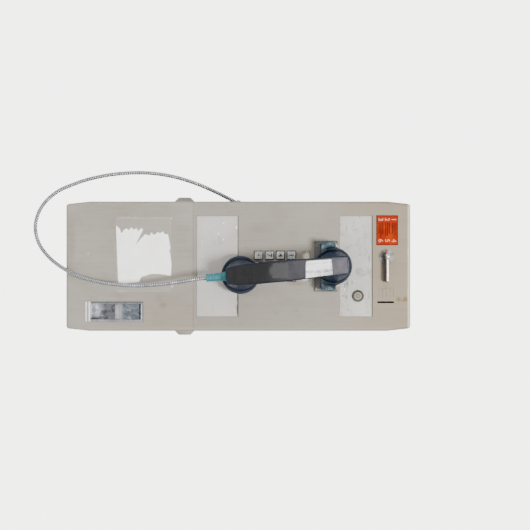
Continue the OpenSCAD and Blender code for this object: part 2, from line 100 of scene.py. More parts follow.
class Graph:
    """A Principled material put together node by node, on coordinates in the row frame."""

    def __init__(self, name, rough=0.5, metal=0.0, color=(0.5, 0.5, 0.5)):
        self.mat = bpy.data.materials.new(name)
        self.mat.use_nodes = True
        self.tree = self.mat.node_tree
        self.bsdf = self.tree.nodes["Principled BSDF"]
        self.bsdf.inputs["Roughness"].default_value = rough
        self.bsdf.inputs["Metallic"].default_value = metal
        self.bsdf.inputs["Base Color"].default_value = (*color, 1)
        place = self.node("ShaderNodeTexCoord")
        self.xyz, self.normal = place.outputs["Object"], place.outputs["Normal"]
        split = self.node("ShaderNodeSeparateXYZ", Vector=self.xyz)
        self.x, self.y, self.z = split.outputs

    def node(self, kind, props=None, **inputs):
        """Adds a node; inputs are its sockets by name, with _ for a space."""
        made = self.tree.nodes.new(kind)
        for key, value in (props or {}).items():
            setattr(made, key, value)
        for key, value in inputs.items():
            self.put(made.inputs[key.replace("_", " ")], value)
        return made

    def put(self, socket, value):
        """Links value to the socket if it is a socket, or else stores it there."""
        if isinstance(value, bpy.types.NodeSocket):
            self.tree.links.new(value, socket)
        elif isinstance(value, (tuple, list)) and len(value) == 3 and socket.type == "RGBA":
            socket.default_value = (*value, 1)
        else:
            socket.default_value = value

    def set(self, name, value):
        """Puts value on the shader's own socket of that name."""
        self.put(self.bsdf.inputs[name], value)
        return self

    def math(self, op, a, b=0.0, clamp=False):
        made = self.node("ShaderNodeMath", {"operation": op, "use_clamp": clamp})
        self.put(made.inputs[0], a)
        self.put(made.inputs[1], b)
        return made.outputs[0]

    def spread(self, value, low, high, to_low=0.0, to_high=1.0):
        """value from low to high, laid on to_low to to_high with soft ends."""
        made = self.node("ShaderNodeMapRange", {"interpolation_type": "SMOOTHSTEP"}, Value=value)
        for key, number in (("From Min", low), ("From Max", high), ("To Min", to_low), ("To Max", to_high)):
            made.inputs[key].default_value = number
        return made.outputs["Result"]

    def noise(self, scale, detail=3.0, rough=0.55, stretch=(1, 1, 1), shift=(0, 0, 0)):
        """Cloudy noise; a stretch below 1 draws it out along that axis."""
        place = self.node("ShaderNodeMapping", Vector=self.xyz)
        place.inputs["Scale"].default_value = stretch
        place.inputs["Location"].default_value = shift
        made = self.node("ShaderNodeTexNoise", Vector=place.outputs["Vector"])
        for key, number in (("Scale", scale), ("Detail", detail), ("Roughness", rough)):
            made.inputs[key].default_value = number
        return made.outputs[0]

    def cells(self, scale):
        """Distance to the nearest cell centre, for the spangle of zinc."""
        made = self.node("ShaderNodeTexVoronoi", {"feature": "F1"}, Vector=self.xyz)
        made.inputs["Scale"].default_value = scale
        return made.outputs["Distance"]

    def mix(self, amount, a, b):
        """Colour a where amount is 0, and b where it is 1."""
        made = self.node("ShaderNodeMix", {"data_type": "RGBA"})
        self.put(made.inputs["Factor"], amount)
        self.put(made.inputs[6], a)
        self.put(made.inputs[7], b)
        return made.outputs[2]

    def band(self, value, low, high, soft):
        """1 where value is between low and high."""
        up = self.spread(value, low - soft, low + soft)
        down = self.spread(value, high - soft, high + soft, 1, 0)
        return self.math("MULTIPLY", up, down)

    def to_nearest(self, value, start, pitch):
        """Distance from value to the nearest line of a row that passes start (mm) at every pitch (mm)."""
        steps = self.math("DIVIDE", self.math("SUBTRACT", value, start * MM), pitch * MM)
        part = self.math("SUBTRACT", self.math("FRACT", self.math("ADD", steps, 0.5)), 0.5)
        return self.math("MULTIPLY", self.math("ABSOLUTE", part), pitch * MM)

    def box(self, x0, x1, z0, z1, soft=1 * MM, warp=None):
        """1 inside a rectangle on the front; warp is a socket that makes its edges ragged."""
        x = self.math("ADD", self.x, warp) if warp else self.x
        z = self.math("ADD", self.z, warp) if warp else self.z
        across = self.band(x, x0 * MM, x1 * MM, soft)
        return self.math("MULTIPLY", across, self.band(z, z0 * MM, z1 * MM, soft))

    def length(self, x, z):
        """Length of the vector (x, z)."""
        return self.math("SQRT", self.math("ADD", self.math("MULTIPLY", x, x), self.math("MULTIPLY", z, z)))

    def spot(self, x, z, rx, rz):
        """1 at the middle of an oval on the front, falling to 0 at its rim."""
        dx = self.math("DIVIDE", self.math("SUBTRACT", self.x, x * MM), rx * MM)
        dz = self.math("DIVIDE", self.math("SUBTRACT", self.z, z * MM), rz * MM)
        return self.spread(self.length(dx, dz), 0.2, 1.0, 1, 0)

    def bump(self, height, strength, depth):
        """Tilts the surface by the slope of height; depth is in metres."""
        made = self.node("ShaderNodeBump", Height=height)
        made.inputs["Strength"].default_value = strength
        made.inputs["Distance"].default_value = depth
        self.tree.links.new(made.outputs["Normal"], self.bsdf.inputs["Normal"])
        return self


def housing_material():
    """Satin stainless sheet, brushed upright, with grime, rust stains, the ghost of an old poster, and painted
    shade and highlights.
    """
    g = Graph("weathered_steel", rough=0.5, metal=0.25)
    brush = g.noise(900, 2, 0.5, (1, 1, 0.02))
    streak = g.noise(70, 4, 0.6, (1, 1, 0.05))
    cloud = g.noise(9, 5, 0.6, (1, 1, 0.6))
    blotch = g.noise(38, 5, 0.65)
    speck = g.noise(420, 3, 0.7)
    color = g.mix(g.spread(cloud, 0.3, 0.7), HOUSING_LOW, HOUSING_HIGH)
    color = g.mix(g.spread(blotch, 0.48, 0.70, 0, 0.35), color, (0.175, 0.148, 0.115))
    color = g.mix(g.spread(streak, 0.42, 0.75, 0, 0.32), color, (0.165, 0.145, 0.118))
    color = g.mix(g.spread(brush, 0.3, 0.7, 0.0, 0.16), color, (0.38, 0.365, 0.335))
    color = g.mix(g.spread(speck, 0.62, 0.80, 0, 0.45), color, (0.10, 0.09, 0.075))
    # The upper cover is a little darker, warmer and browner towards its top; so is the corner by the poster
    color = g.mix(g.spread(g.z, -74 * MM, -68 * MM, 0, 0.45), color, (0.183, 0.166, 0.142))
    color = g.mix(g.spread(g.z, 110 * MM, 250 * MM, 0, 0.80), color, (0.190, 0.150, 0.098))
    low_tone = g.math("MULTIPLY", g.spread(g.z, -200 * MM, -110 * MM), g.spread(g.x, 10 * MM, 90 * MM, 0, 0.3))
    low_tone = g.math("MULTIPLY", low_tone, g.spread(g.z, -60 * MM, -80 * MM))
    color = g.mix(low_tone, color, (0.215, 0.168, 0.110))
    # Grime below the cradle and round the keypad
    grime = g.math("MULTIPLY", g.spot(0, 60, 52, 80), g.spread(g.noise(45, 4), 0.4, 0.7))
    color = g.mix(g.math("MULTIPLY", grime, 0.40), color, (0.135, 0.123, 0.105))
    # Ghost of the poster's full sheet, with a pale rim of old glue
    ragged = g.spread(g.noise(160, 3), 0.3, 0.7, -0.8 * MM, 0.8 * MM)
    ghost = g.box(-77, 40, -192, -106, 0.5 * MM, ragged)
    inside = g.box(-75, 38, -190, -108, 0.5 * MM, ragged)
    color = g.mix(g.math("MULTIPLY", ghost, 0.13), color, (0.42, 0.405, 0.385))
    rim = g.math("SUBTRACT", ghost, inside, clamp=True)
    rim = g.math("MULTIPLY", rim, g.spread(g.noise(60, 3), 0.4, 0.7, 0, 0.5))
    color = g.mix(rim, color, (0.46, 0.445, 0.415))
    # Rust stains: x, z, radius across, radius upright, strength
    rust_grain = g.spread(g.noise(230, 4, 0.7), 0.38, 0.56, 0.55, 1)
    for x, z, rx, rz, amount in (
            (51.5, 262.5, 6.5, 6, 0.95), (51.5, 252, 5, 5.5, 0.9), (54, 257, 2.4, 12, 0.6),
            (34.5, 232.4, 3, 3, 0.5), (26, 20, 6, 26, 0.35),
            (61, -118, 7, 8, 0.40), (50, -125, 14, 8, 0.16), (-30, -262, 60, 9, 0.25), (74, 150, 5, 20, 0.15),
            (27, 92, 6, 20, 0.35), (-60, 40, 14, 30, 0.15)):
        stain = g.math("MULTIPLY", g.spot(x, z, rx, rz), rust_grain)
        color = g.mix(g.math("MULTIPLY", stain, amount), color, (0.115, 0.066, 0.023))
    # Painted shadow below the release lever's bar, in a ragged dark band
    lever_shadow_paint = g.box(-7, 25, 226.8, 231, 1.0 * MM, g.spread(g.noise(130, 3), 0.3, 0.7, -0.7 * MM, 0.7 * MM))
    color = g.mix(g.math("MULTIPLY", lever_shadow_paint, 0.68), color, (0.070, 0.050, 0.039))
    # Painted shade in the gap round each key
    across = g.to_nearest(g.x, 0, KEY_PITCH)
    up = g.to_nearest(g.z, KEYPAD_Z + KEY_PITCH / 2, KEY_PITCH)
    shaded_gap = g.spread(g.math("MAXIMUM", across, up), 7.0 * MM, 7.9 * MM, 1, 0)
    shaded_gap = g.math("MULTIPLY", shaded_gap, g.box(-26, 26, KEYPAD_Z - 35, KEYPAD_Z + 35))
    color = g.mix(g.math("MULTIPLY", shaded_gap, 0.85), color, (0.045, 0.040, 0.034))
    # Painted highlight along the rounded top edge and right edge
    top_edge_highlight = g.spread(g.z, 265.4 * MM, 267.2 * MM, 0, 0.75)
    right_edge_highlight = g.spread(g.x, 95 * MM, 99 * MM, 0, 0.22)
    color = g.mix(g.math("MAXIMUM", top_edge_highlight, right_edge_highlight), color, (0.40, 0.375, 0.305))
    # Dark chips, then pale flecks: x, z, radius
    for x, z, r in ((-29.5, 12, 2.2), (-31, 33, 1.6), (-46, 3, 1.4),
                    (60, 12, 1.5), (70, 92, 1.8), (22, 103, 2.0)):
        color = g.mix(g.math("MULTIPLY", g.spot(x, z, r, r), 0.6), color, (0.10, 0.10, 0.10))
    for x, z, r in ((32, -104, 2.0), (-75, -105, 1.5), (-20, -236, 1.3)):
        color = g.mix(g.math("MULTIPLY", g.spot(x, z, r, r), 0.7), color, (0.80, 0.79, 0.76))
    # Fine engraved coin diagram left of the slot
    lines = g.box(34, 35, 220, 244, 0.3 * MM)
    for z in (220.8, 226.6, 232.6, 238.7, 243.9):
        lines = g.math("MAXIMUM", lines, g.box(34, 49.5, z - 0.5, z + 0.5, 0.35 * MM))
    worn = g.spread(g.noise(120, 3), 0.32, 0.6)
    lines = g.math("MULTIPLY", lines, worn)
    color = g.mix(g.math("MULTIPLY", lines, 0.85), color, (0.100, 0.083, 0.064))
    g.set("Base Color", color)
    g.set("Roughness", g.spread(g.math("ADD", streak, g.math("MULTIPLY", speck, 0.4)), 0.4, 1.0, 0.40, 0.66))
    height = g.math("ADD", g.math("MULTIPLY", brush, 0.6), g.math("MULTIPLY", g.noise(25, 4), 0.8))
    return g.bump(height, 0.25, 0.15 * MM).mat


def panel_material():
    """Light window panel, scuffed and smudged, with painted shade in the gaps along its upper edges."""
    g = Graph("worn_panel", rough=0.5, metal=0.05)
    cloud = g.noise(14, 5, 0.6)
    smudge = g.spread(g.noise(55, 6, 0.7), 0.50, 0.68)
    speck = g.noise(600, 3, 0.7)
    color = g.mix(g.spread(cloud, 0.35, 0.65), (0.350, 0.336, 0.315), (0.420, 0.405, 0.384))
    # The upper panel is the dirtier one
    upper = g.spread(g.z, 80 * MM, 140 * MM, 0.20, 0.92)
    color = g.mix(g.math("MULTIPLY", smudge, upper), color, (0.235, 0.226, 0.216))
    scratch = g.spread(g.noise(150, 4, 0.7, (0.25, 1, 1)), 0.59, 0.66)
    color = g.mix(g.math("MULTIPLY", scratch, upper), color, (0.13, 0.127, 0.125))
    color = g.mix(g.spread(speck, 0.66, 0.8, 0, 0.5), color, (0.20, 0.19, 0.18))
    white = g.spread(g.noise(150, 2, 0.5, shift=(3, 1, 2)), 0.70, 0.74)
    color = g.mix(g.math("MULTIPLY", white, 0.8), color, (0.88, 0.87, 0.84))
    # Ring-shaped scuff
    x = g.math("SUBTRACT", g.x, -38 * MM)
    z = g.math("SUBTRACT", g.z, 196 * MM)
    far = g.length(x, z)
    ring = g.math("MULTIPLY", g.band(far, 6.2 * MM, 7.0 * MM, 0.4 * MM), g.spread(g.noise(90, 3), 0.4, 0.6))
    color = g.mix(g.math("MULTIPLY", ring, 0.6), color, (0.22, 0.21, 0.20))
    # Painted shade in the ragged gap along the top of the lower panel, widest at its right end
    depth = g.spread(g.x, 20 * MM, 75 * MM, 1.2 * MM, 3.4 * MM)
    ragged = g.math("MULTIPLY", g.spread(g.noise(110, 4, 0.7), 0.30, 0.60, 0.3, 1), depth)
    shaded_gap = g.spread(g.math("ADD", g.z, ragged), -0.2 * MM, 0.5 * MM)
    shaded_gap = g.math("MULTIPLY", shaded_gap, g.spread(g.z, 30 * MM, 20 * MM))
    color = g.mix(g.math("MULTIPLY", shaded_gap, 0.9), color, (0.055, 0.058, 0.06))
    # Painted shade along the top edge of the upper panel
    top_gap_shade = g.spread(g.z, 208.8 * MM, 210.2 * MM)
    color = g.mix(g.math("MULTIPLY", top_gap_shade, 0.85), color, (0.105, 0.10, 0.105))
    g.set("Base Color", color)
    g.set("Roughness", g.spread(smudge, 0, 1, 0.42, 0.62))
    return g.bump(g.noise(90, 4), 0.15, 0.2 * MM).mat


def chrome_material(name, low, high, rough=0.16, wear=0.5, stain=None, underside_shade=0.0):
    """Street-worn chrome with haze and fine scratches.

    stain is (x, z, radius, color) of one spot; underside_shade is how much painted shade darkens faces turned
    down.
    """
    g = Graph(name, rough=rough, metal=0.95)
    haze = g.noise(60, 5, 0.6)
    scratch = g.noise(500, 3, 0.6, (1, 1, 0.08))
    color = g.mix(g.spread(haze, 0.35, 0.65), low, high)
    color = g.mix(g.spread(scratch, 0.6, 0.8, 0, wear), color, tuple(0.5 * v for v in low))
    if stain:
        x, z, r, tone = stain
        color = g.mix(g.math("MULTIPLY", g.spot(x, z, r, r), 0.85), color, tone)
    if underside_shade:
        # Painted shade on faces turned down
        down = g.node("ShaderNodeSeparateXYZ", Vector=g.normal).outputs["Z"]
        color = g.mix(g.spread(down, -0.05, -0.45, 0, underside_shade), color, (0.045, 0.032, 0.026))
    g.set("Base Color", color)
    g.set("Roughness", g.spread(haze, 0.3, 0.75, rough, rough + 0.22))
    return g.bump(scratch, 0.12, 0.03 * MM).mat


def galvanised_material(name, low, high, dark, rough=0.42, metal=0.5, scraped=0.5, painted_light=0.0):
    """Dull zinc sheet of the coin return, with smears, scrapes and a pale rubbed edge.

    painted_light is how much painted light brightens the sheet below the flap, where the flap's shade falls.
    """
    g = Graph(name, rough=rough, metal=metal)
    spangle = g.cells(260)
    smear = g.noise(70, 5, 0.65, (1, 1, 0.8))
    color = g.mix(g.spread(spangle, 0.1, 0.6), low, high)
    color = g.mix(g.spread(smear, 0.46, 0.62, 0, 0.75), color, dark)
    scrape = g.noise(190, 3, 0.6, (1, 1, 0.35), (5, 0, 2))
    color = g.mix(g.spread(scrape, 0.57, 0.62, 0, scraped), color, (0.60, 0.60, 0.63))
    if painted_light:
        # Painted light: the sheet grows lighter towards the flap, against the flap's shade
        color = g.mix(g.spread(g.z, -226 * MM, -202 * MM, 0, painted_light), color, (0.72, 0.73, 0.80))
        color = g.mix(g.spread(g.noise(120, 4, 0.6, shift=(1, 4, 0)), 0.50, 0.62, 0, 0.6), color, dark)
    # Rubbed lip of the flap
    lip = g.math("MULTIPLY", g.box(58, 85, -194.5, -183, 1.6 * MM), g.spread(g.y, -141 * MM, -143 * MM))
    color = g.mix(g.math("MULTIPLY", lip, 0.62), color, (0.36, 0.35, 0.39))
    # Two bright bars at the foot of the frame, with a dark line between them
    foot = g.box(55, 88, -241, -232.4, 0.3 * MM)
    color = g.mix(g.math("MULTIPLY", foot, 0.9), color, (0.74, 0.74, 0.74))
    color = g.mix(g.box(55, 88, -237.2, -235.4, 0.35 * MM), color, (0.11, 0.11, 0.12))
    # Painted shade: a dark rim along the left of the frame and across its top
    rim = g.math("MAXIMUM", g.box(55, 58.2, -232, -149, 0.4 * MM), g.box(55, 88, -150.9, -148, 0.3 * MM))
    color = g.mix(g.math("MULTIPLY", rim, 0.85), color, (0.055, 0.055, 0.06))
    rails = g.math("MAXIMUM", g.box(58, 60.2, -232, -152, 0.4 * MM), g.box(83.8, 88, -232, -152, 0.4 * MM))
    rails = g.math("MULTIPLY", rails, g.spread(g.y, -147 * MM, -148 * MM))
    color = g.mix(g.math("MULTIPLY", rails, 0.6), color, (0.13, 0.13, 0.145))
    g.set("Base Color", color)
    g.set("Roughness", g.spread(smear, 0.35, 0.7, rough - 0.08, rough + 0.16))
    return g.bump(smear, 0.25, 0.2 * MM).mat


def plastic_material(name, low, high, rough, grain=380, wear=None, lift=0.12, gloss=0.5):
    """Moulded plastic with a faint grain, dust and, where wear is given, pale scuffs of that colour."""
    g = Graph(name, rough=rough)
    g.set("Specular IOR Level", gloss)
    cloud = g.noise(30, 4, 0.6)
    color = g.mix(g.spread(cloud, 0.3, 0.7), low, high)
    if wear:
        scuff = g.noise(130, 5, 0.7, (1, 1, 0.35))
        color = g.mix(g.spread(scuff, 0.58, 0.72, 0, lift), color, wear)
    g.set("Base Color", color)
    g.set("Roughness", g.spread(g.noise(85, 4, 0.6), 0.3, 0.7, rough - 0.07, rough + 0.12))
    return g.bump(g.noise(grain * 6, 2), 0.12, 0.05 * MM).mat


def conduit_material():
    """Wound stainless strip, blue-grey, with dirt and painted shade in its grooves (the mesh's own attribute).
    """
    g = Graph("wound_conduit", rough=0.28, metal=0.85)
    dirt = g.noise(120, 4, 0.6)
    color = g.mix(g.spread(dirt, 0.35, 0.7), (0.400, 0.410, 0.440), (0.240, 0.252, 0.280))
    groove = g.node("ShaderNodeAttribute", {"attribute_name": "groove"}).outputs["Fac"]
    # Dirt and painted shade darken the grooves
    color = g.mix(g.spread(groove, 0.1, 0.75), color, (0.026, 0.030, 0.040))
    g.set("Base Color", color)
    g.set("Roughness", g.spread(dirt, 0.3, 0.7, 0.22, 0.42))
    return g.bump(g.noise(1500, 2), 0.1, 0.02 * MM).mat


def sheet_metal_material(name, low, high, rough, metal=0.8):
    """Plain inner metalwork: a soft grain and a little staining."""
    g = Graph(name, rough=rough, metal=metal)
    grain = g.noise(320, 3, 0.6, (1, 1, 0.2))
    stain = g.noise(25, 5, 0.6)
    color = g.mix(g.spread(stain, 0.35, 0.65), low, high)
    color = g.mix(g.spread(grain, 0.6, 0.8, 0, 0.25), color, tuple(0.4 * v for v in low))
    g.set("Base Color", color)
    g.set("Roughness", g.spread(stain, 0.3, 0.7, rough - 0.08, rough + 0.12))
    return g.bump(grain, 0.15, 0.08 * MM).mat


def label_material():
    """Orange enamel, sun-faded and scratched."""
    g = Graph("orange_enamel", rough=0.6)
    g.set("Specular IOR Level", 0.05)
    fade = g.noise(60, 4, 0.6)
    color = g.mix(g.spread(fade, 0.35, 0.65), (0.205, 0.0095, 0.0), (0.270, 0.026, 0.0))
    # Redder at the left, where the first numerals are
    color = g.mix(g.spread(g.x, -60 * MM, -74 * MM, 0, 0.6), color, (0.22, 0.008, 0.003))
    scratch = g.noise(300, 4, 0.7, (0.3, 1, 1))
    color = g.mix(g.spread(scratch, 0.62, 0.72, 0, 0.6), color, (0.09, 0.008, 0.003))
    g.set("Base Color", color)
    return g.bump(scratch, 0.12, 0.05 * MM).mat


def paper_material(name, low, high, faded=0.0):
    """Old torn paper with fibres and stains; faded is the strength of smears of old print."""
    g = Graph(name, rough=0.85)
    fibre = g.noise(700, 4, 0.7)
    stain = g.noise(40, 5, 0.6)
    color = g.mix(g.spread(stain, 0.35, 0.7), high, low)
    color = g.mix(g.spread(fibre, 0.58, 0.78, 0, 0.18), color, (0.52, 0.50, 0.46))
    if faded:
        print_smear = g.spread(g.noise(150, 2, 0.5, (1, 1, 0.3), (2, 0, 1)), 0.60, 0.68, 0, faded)
        color = g.mix(print_smear, color, (0.36, 0.36, 0.40))
    g.set("Base Color", color)
    return g.bump(fibre, 0.4, 0.08 * MM).mat


def handset_material():
    """Black handset moulding: glossy dark sides tinted blue as a painted reflection, with a dusty front face
    rubbed in the hand's grip.
    """
    g = Graph("handset_black", rough=0.4)
    g.set("Specular IOR Level", 0.09)
    cloud = g.noise(40, 4, 0.6)
    # Painted reflection: the sides' dark base colour is tinted blue
    side = g.mix(g.spread(cloud, 0.3, 0.7), (0.0030, 0.0072, 0.017), (0.0058, 0.0135, 0.030))
    # Only faces turned to the front hold dust, and more of it towards the ear end
    turned = g.node("ShaderNodeSeparateXYZ", Vector=g.normal).outputs["Y"]
    face = g.math("MULTIPLY", g.spread(turned, -0.62, -0.78), g.spread(g.y, FRONT - 46 * MM, FRONT - 50 * MM))
    low = g.mix(g.spread(cloud, 0.3, 0.7), (0.0105, 0.0108, 0.0120), (0.0165, 0.0168, 0.0178))
    middle = g.mix(g.spread(cloud, 0.3, 0.7), (0.031, 0.030, 0.036), (0.046, 0.0445, 0.050))
    dusty = g.mix(g.spread(g.noise(60, 4, 0.6), 0.3, 0.7), (0.058, 0.056, 0.067), (0.084, 0.081, 0.095))
    front = g.mix(g.spread(g.z, 40 * MM, 85 * MM), low, middle)
    front = g.mix(g.spread(g.z, 98 * MM, 150 * MM), front, dusty)
    # Rubbed patch of the grip, with a pointed lower end
    ragged = g.spread(g.noise(190, 3), 0.3, 0.7, -0.8 * MM, 0.8 * MM)
    patch = g.math("MAXIMUM", g.box(-5, 18, 53, 78, 0.8 * MM, ragged), g.spot(7, 53, 11, 7))
    front = g.mix(g.math("MULTIPLY", patch, 0.7), front, (0.052, 0.0515, 0.053))
    color = g.mix(face, side, front)
    scuff = g.spread(g.noise(170, 5, 0.7, (1, 1, 0.3)), 0.60, 0.72)
    scuffed = g.math("MULTIPLY", scuff, g.spread(face, 0, 1, 0.03, 0.16))
    color = g.mix(scuffed, color, (0.09, 0.09, 0.10))
    g.set("Base Color", color)
    rough = g.spread(face, 0, 1, 0.36, 0.52)
    g.set("Roughness", g.math("ADD", rough, g.math("MULTIPLY", scuff, 0.12)))
    return g.bump(g.noise(2200, 2), 0.1, 0.05 * MM).mat


def key_material():
    """Bright worn key caps, with dirt and painted shade on their sides."""
    g = Graph("key_chrome", rough=0.26, metal=0.75)
    haze = g.noise(90, 5, 0.6)
    color = g.mix(g.spread(haze, 0.35, 0.65), (0.46, 0.46, 0.47), (0.64, 0.64, 0.65))
    # Dirt and painted shade on the key sides behind the face
    color = g.mix(g.spread(g.y, -152.85 * MM, -152.3 * MM, 0, 0.92), color, (0.05, 0.046, 0.042))
    g.set("Base Color", color)
    g.set("Roughness", g.spread(haze, 0.3, 0.75, 0.22, 0.42))
    return g.bump(g.noise(500, 3, 0.6, (1, 1, 0.08)), 0.12, 0.06 * MM).mat


def lens_material():
    """Scratched clear plastic over the card."""
    g = Graph("clear_lens", rough=0.15, color=(0.85, 0.86, 0.84))
    haze = g.noise(200, 4, 0.6)
    g.set("Alpha", g.spread(haze, 0.35, 0.75, 0.03, 0.14))
    g.set("Roughness", g.spread(haze, 0.4, 0.7, 0.08, 0.3))
    return g.mat


def cradle_material():
    """Dirty chrome plate, darker towards its lower edge and its rim."""
    g = Graph("cradle_chrome", rough=0.22, metal=0.9)
    haze = g.noise(60, 5, 0.6)
    color = g.mix(g.spread(haze, 0.35, 0.65), (0.160, 0.162, 0.158), (0.250, 0.252, 0.245))
    edge = g.math("SUBTRACT", 1, g.box(-37.8, 37.8, 121, 154.8, 0.8 * MM))
    color = g.mix(g.math("MULTIPLY", edge, 0.6), color, (0.045, 0.045, 0.042))
    g.set("Base Color", color)
    g.set("Roughness", g.spread(haze, 0.3, 0.75, 0.16, 0.40))
    return g.bump(g.noise(500, 3, 0.6, (1, 1, 0.1)), 0.1, 0.06 * MM).mat


def horn_material():
    """Chrome of the horns: steel-blue faces as a painted reflection, darker in a ring round the cap, and a
    painted highlight at the tips.
    """
    g = Graph("horn_chrome", rough=0.14, metal=0.92)
    haze = g.noise(80, 5, 0.6)
    # Painted reflection: steel-blue base colour
    color = g.mix(g.spread(haze, 0.35, 0.65), (0.100, 0.165, 0.215), (0.175, 0.265, 0.325))
    # A dark ring round the cap's centre, just outside the cap
    x = g.math("DIVIDE", g.x, 34 * MM)
    z = g.math("DIVIDE", g.math("SUBTRACT", g.z, 149 * MM), 34 * MM)
    far = g.length(x, z)
    color = g.mix(g.spread(far, 0.94, 1.0, 0.75, 0), color, (0.035, 0.04, 0.05))
    # Painted highlight along the tips
    color = g.mix(g.spread(g.z, 151.5 * MM, 153.5 * MM, 0, 1), color, (0.90, 0.91, 0.93))
    g.set("Base Color", color)
    g.set("Roughness", g.spread(haze, 0.3, 0.75, 0.12, 0.34))
    return g.bump(g.noise(500, 3, 0.6, (1, 1, 0.1)), 0.1, 0.06 * MM).mat


MATERIALS = {
    "housing_steel": housing_material(),
    "panel": panel_material(),
    "chrome": chrome_material("worn_chrome", (0.42, 0.44, 0.46), (0.68, 0.70, 0.71)),
    "key_metal": key_material(),
    "galvanised": galvanised_material("galvanised_sheet", (0.25, 0.265, 0.31), (0.42, 0.44, 0.50),
                                      (0.10, 0.11, 0.14)),
    "zinc_plated": sheet_metal_material("zinc_plate", (0.36, 0.37, 0.38), (0.50, 0.50, 0.49), 0.4),
    "spring_steel": sheet_metal_material("spring_wire", (0.22, 0.23, 0.24), (0.34, 0.34, 0.34), 0.34),
    "brass": sheet_metal_material("turned_brass", (0.45, 0.31, 0.12), (0.60, 0.44, 0.19), 0.32),
    "capsule": sheet_metal_material("capsule_metal", (0.36, 0.35, 0.31), (0.48, 0.47, 0.43), 0.38),
    "conduit_steel": conduit_material(),
    "dark_plastic": plastic_material("black_moulding", (0.018, 0.018, 0.02), (0.03, 0.03, 0.032), 0.5,
                                     wear=(0.12, 0.12, 0.12)),
    # Painted reflection: the caps' dark base colour is tinted blue
    "cap_plastic": plastic_material("glossy_cap", (0.0070, 0.0115, 0.0215), (0.0125, 0.0195, 0.035), 0.34,
                                    wear=(0.05, 0.06, 0.08), lift=0.2, gloss=0.3),
    "black_plastic": handset_material(),
    "olive_plastic": plastic_material("faded_button", (0.130, 0.119, 0.078), (0.185, 0.172, 0.125), 0.45,
                                      wear=(0.36, 0.34, 0.28)),
    "teal_rubber": plastic_material("teal_sleeve", (0.003, 0.088, 0.112), (0.006, 0.128, 0.158), 0.45,
                                    wear=(0.06, 0.22, 0.25), lift=0.4),
    "board_green": plastic_material("solder_mask", (0.012, 0.075, 0.035), (0.02, 0.12, 0.055), 0.35),
    "orange_label": label_material(),
    "paper_card": paper_material("yellowed_card", (0.93, 0.87, 0.70), (1.0, 0.96, 0.83)),
    "clear_lens": lens_material(),
}
CRADLE = cradle_material()
HORN = horn_material()
COLLAR = chrome_material("collar_metal", (0.040, 0.038, 0.034), (0.085, 0.080, 0.072), 0.34)
BUSH = chrome_material("bush_chrome", (0.13, 0.125, 0.122), (0.265, 0.253, 0.247), 0.28,
                       stain=(-23.8, 232.6, 4.4, (0.15, 0.016, 0.028)))
FLAP = galvanised_material("flap_sheet", (0.064, 0.078, 0.098), (0.140, 0.162, 0.188), (0.030, 0.042, 0.048),
                           scraped=0.3)
TRAY = galvanised_material("tray_sheet", (0.24, 0.25, 0.30), (0.44, 0.45, 0.52), (0.10, 0.11, 0.15),
                           rough=0.62, metal=0.2, scraped=0.9, painted_light=0.8)
LEVER = chrome_material("lever_chrome", (0.42, 0.375, 0.37), (0.56, 0.515, 0.51), 0.28, 0.1, underside_shade=0.9)
TORN_PAPER = paper_material("torn_paper", (0.82, 0.815, 0.81), (0.93, 0.925, 0.92))
LABEL_PAPER = paper_material("label_paper", (0.66, 0.65, 0.66), (0.80, 0.79, 0.80), faded=0.75)
DARK_INK = plastic_material("dark_ink", (0.010, 0.010, 0.011), (0.018, 0.018, 0.02), 0.6)
DARK_RED = plastic_material("dark_red_enamel", (0.070, 0.003, 0.002), (0.110, 0.008, 0.004), 0.6, gloss=0.05)
PALE_INK = plastic_material("pale_ink", (0.50, 0.155, 0.080), (0.62, 0.225, 0.125), 0.6, gloss=0.05)
WORN_INK = plastic_material("worn_ink", (0.15, 0.143, 0.135), (0.24, 0.23, 0.22), 0.6, gloss=0.1)
BUTTON_GROOVE = plastic_material("button_groove", (0.050, 0.046, 0.030), (0.075, 0.069, 0.048), 0.6, gloss=0.1)


# ---- shared mesh tools ----

def make_piece(name, verts, faces, material):
    """A mesh object in the scene, shaded smooth, in one material."""
    mesh = bpy.data.meshes.new(name)
    mesh.from_pydata([tuple(v) for v in verts], [], faces)
    mesh.validate()
    ob = bpy.data.objects.new(name, mesh)
    bpy.context.scene.collection.objects.link(ob)
    mesh.materials.append(material)
    mesh.polygons.foreach_set("use_smooth", [True] * len(mesh.polygons))
    return ob


def add_modifier(ob, kind, **settings):
    """Adds a modifier of that kind to ob, with its settings."""
    modifier = ob.modifiers.new(kind.lower(), kind)
    for key, value in settings.items():
        setattr(modifier, key, value)
    return modifier


def mesh_from(ob):
    """Turns a curve or text object into a mesh object of the same name."""
    bpy.context.scene.collection.objects.link(ob)
    bpy.context.view_layer.update()
    mesh = bpy.data.meshes.new_from_object(ob.evaluated_get(bpy.context.evaluated_depsgraph_get()))
    name, curve = ob.name, ob.data
    bpy.data.objects.remove(ob)
    bpy.data.curves.remove(curve)
    mesh.name = name
    made = bpy.data.objects.new(name, mesh)
    bpy.context.scene.collection.objects.link(made)
    return made


def apply_modifiers(ob):
    """Turns ob's modifiers into plain mesh."""
    bpy.context.view_layer.update()
    made = bpy.data.meshes.new_from_object(ob.evaluated_get(bpy.context.evaluated_depsgraph_get()))
    made.name = ob.name
    ob.modifiers.clear()
    ob.data = made
    return ob


